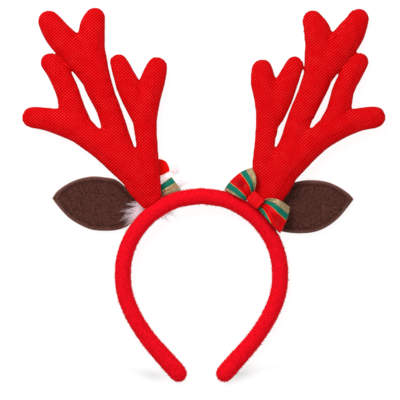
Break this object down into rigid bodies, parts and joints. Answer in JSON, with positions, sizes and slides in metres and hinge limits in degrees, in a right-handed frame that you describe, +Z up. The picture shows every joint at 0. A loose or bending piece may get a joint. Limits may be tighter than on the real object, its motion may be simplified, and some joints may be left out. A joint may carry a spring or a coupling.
{
  "type": "reindeer antler headband",
  "caption": "Plush headband with two stuffed red knit antlers, brown felt ears, striped ribbon bows, a small hat and a white fur tuft.",
  "frame": {"origin": "on the floor, under the middle of the headband's outline, as it lies on its back", "axes": "+Z up out of the headband's front, +Y from the band's ends towards the antler tips, +X to the right as seen from the front"},
  "size_m": [0.2903, 0.2991, 0.0313],
  "materials": {
    "plush_red": "short bright red plush over padding",
    "knit_red": "fine diagonal knit mesh over stuffing",
    "felt_brown": "dark brown felt with a sewn seam near its edge",
    "ribbon_striped": "satin ribbon, red middle, green and glittering gold stripes at both edges",
    "satin_red": "glossy red satin",
    "felt_red": "soft red felt",
    "plush_white": "white plush",
    "fur_white": "fine white feathery fur"
  },
  "bodies": {
    "root": {"band": "plush_red", "antler_left": "knit_red", "antler_right": "knit_red", "ear_left_back": "felt_brown", "ear_left_front": "felt_brown", "ear_right_back": "felt_brown", "ear_right_front": "felt_brown", "bow_front_loop_left": "ribbon_striped", "bow_front_loop_right": "ribbon_striped", "bow_front_knot": "satin_red", "bow_back_loop_left": "ribbon_striped", "bow_back_loop_right": "ribbon_striped", "bow_back_knot": "satin_red", "hat_crown": "felt_red", "hat_brim": "plush_white", "hat_pompom": "plush_white", "fur_tuft": "fur_white"}
  },
  "joints": []
}
